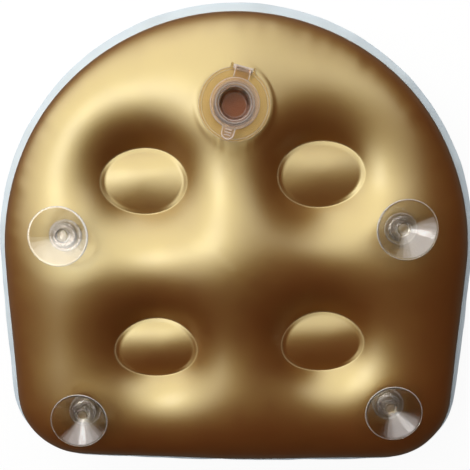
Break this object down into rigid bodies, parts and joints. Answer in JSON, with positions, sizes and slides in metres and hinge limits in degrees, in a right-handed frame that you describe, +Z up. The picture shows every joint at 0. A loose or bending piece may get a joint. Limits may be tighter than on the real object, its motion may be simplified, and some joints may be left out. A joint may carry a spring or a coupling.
{
  "type": "inflatable hot tub seat cushion",
  "caption": "Inflatable booster seat pad of welded vinyl film with oval tufts, a plug valve with a hinged cap, and suction cups that hold its underside to a tub seat.",
  "frame": {"origin": "middle of the outline on the ground, under the front film that the cushion rests on", "axes": "+X to the right in the picture, +Y toward the valve at the round end, +Z up out of the gold back film"},
  "size_m": [0.4, 0.39, 0.0924],
  "materials": {
    "gold_film": "satin pearl gold vinyl film",
    "pale_film": "pale blue grey vinyl film",
    "valve_vinyl": "clear soft vinyl",
    "cup_vinyl": "clear soft vinyl with a smooth grip face"
  },
  "bodies": {
    "cushion": {"back_sheet": "gold_film", "front_sheet": "pale_film", "valve_base": "valve_vinyl", "cup_washer_top_left": "valve_vinyl", "cup_washer_top_right": "valve_vinyl", "cup_washer_bottom_left": "valve_vinyl", "cup_washer_bottom_right": "valve_vinyl"},
    "cap": {"valve_cap": "valve_vinyl", "cap_strap": "valve_vinyl"},
    "flap": {"check_flap": "valve_vinyl"},
    "cup_top_left": {"suction_cup_top_left": "cup_vinyl"},
    "cup_top_right": {"suction_cup_top_right": "cup_vinyl"},
    "cup_bottom_left": {"suction_cup_bottom_left": "cup_vinyl"},
    "cup_bottom_right": {"suction_cup_bottom_right": "cup_vinyl"}
  },
  "joints": [
    {"name": "cap_hinge", "type": "hinge", "parent": "cushion", "child": "cap", "pos_m": [0.00354, 0.13962, 0.07799], "axis": [-0.972, 0.2335, 0.0272], "range_deg": [0, 150]},
    {"name": "flap_hinge", "type": "hinge", "parent": "cushion", "child": "flap", "pos_m": [0.00021, 0.12704, 0.06672], "axis": [0.972, -0.2335, -0.0272], "range_deg": [0, 35], "stiffness_Nm_per_rad": 0.004, "springref_deg": -9.74},
    {"name": "cup_swivel_top_left", "type": "hinge", "parent": "cushion", "child": "cup_top_left", "pos_m": [-0.13199, 0.01789, 0.08284], "axis": [0.0009, 0.0848, 0.9964], "continuous": true},
    {"name": "cup_swivel_top_right", "type": "hinge", "parent": "cushion", "child": "cup_top_right", "pos_m": [0.12581, 0.02634, 0.08353], "axis": [-0.0178, 0.0801, 0.9966], "continuous": true},
    {"name": "cup_swivel_bottom_left", "type": "hinge", "parent": "cushion", "child": "cup_bottom_left", "pos_m": [-0.12383, -0.13, 0.0822], "axis": [0.0166, -0.0002, 0.9999], "continuous": true},
    {"name": "cup_swivel_bottom_right", "type": "hinge", "parent": "cushion", "child": "cup_bottom_right", "pos_m": [0.12718, -0.12025, 0.08225], "axis": [-0.0308, 0.0238, 0.9992], "continuous": true}
  ]
}
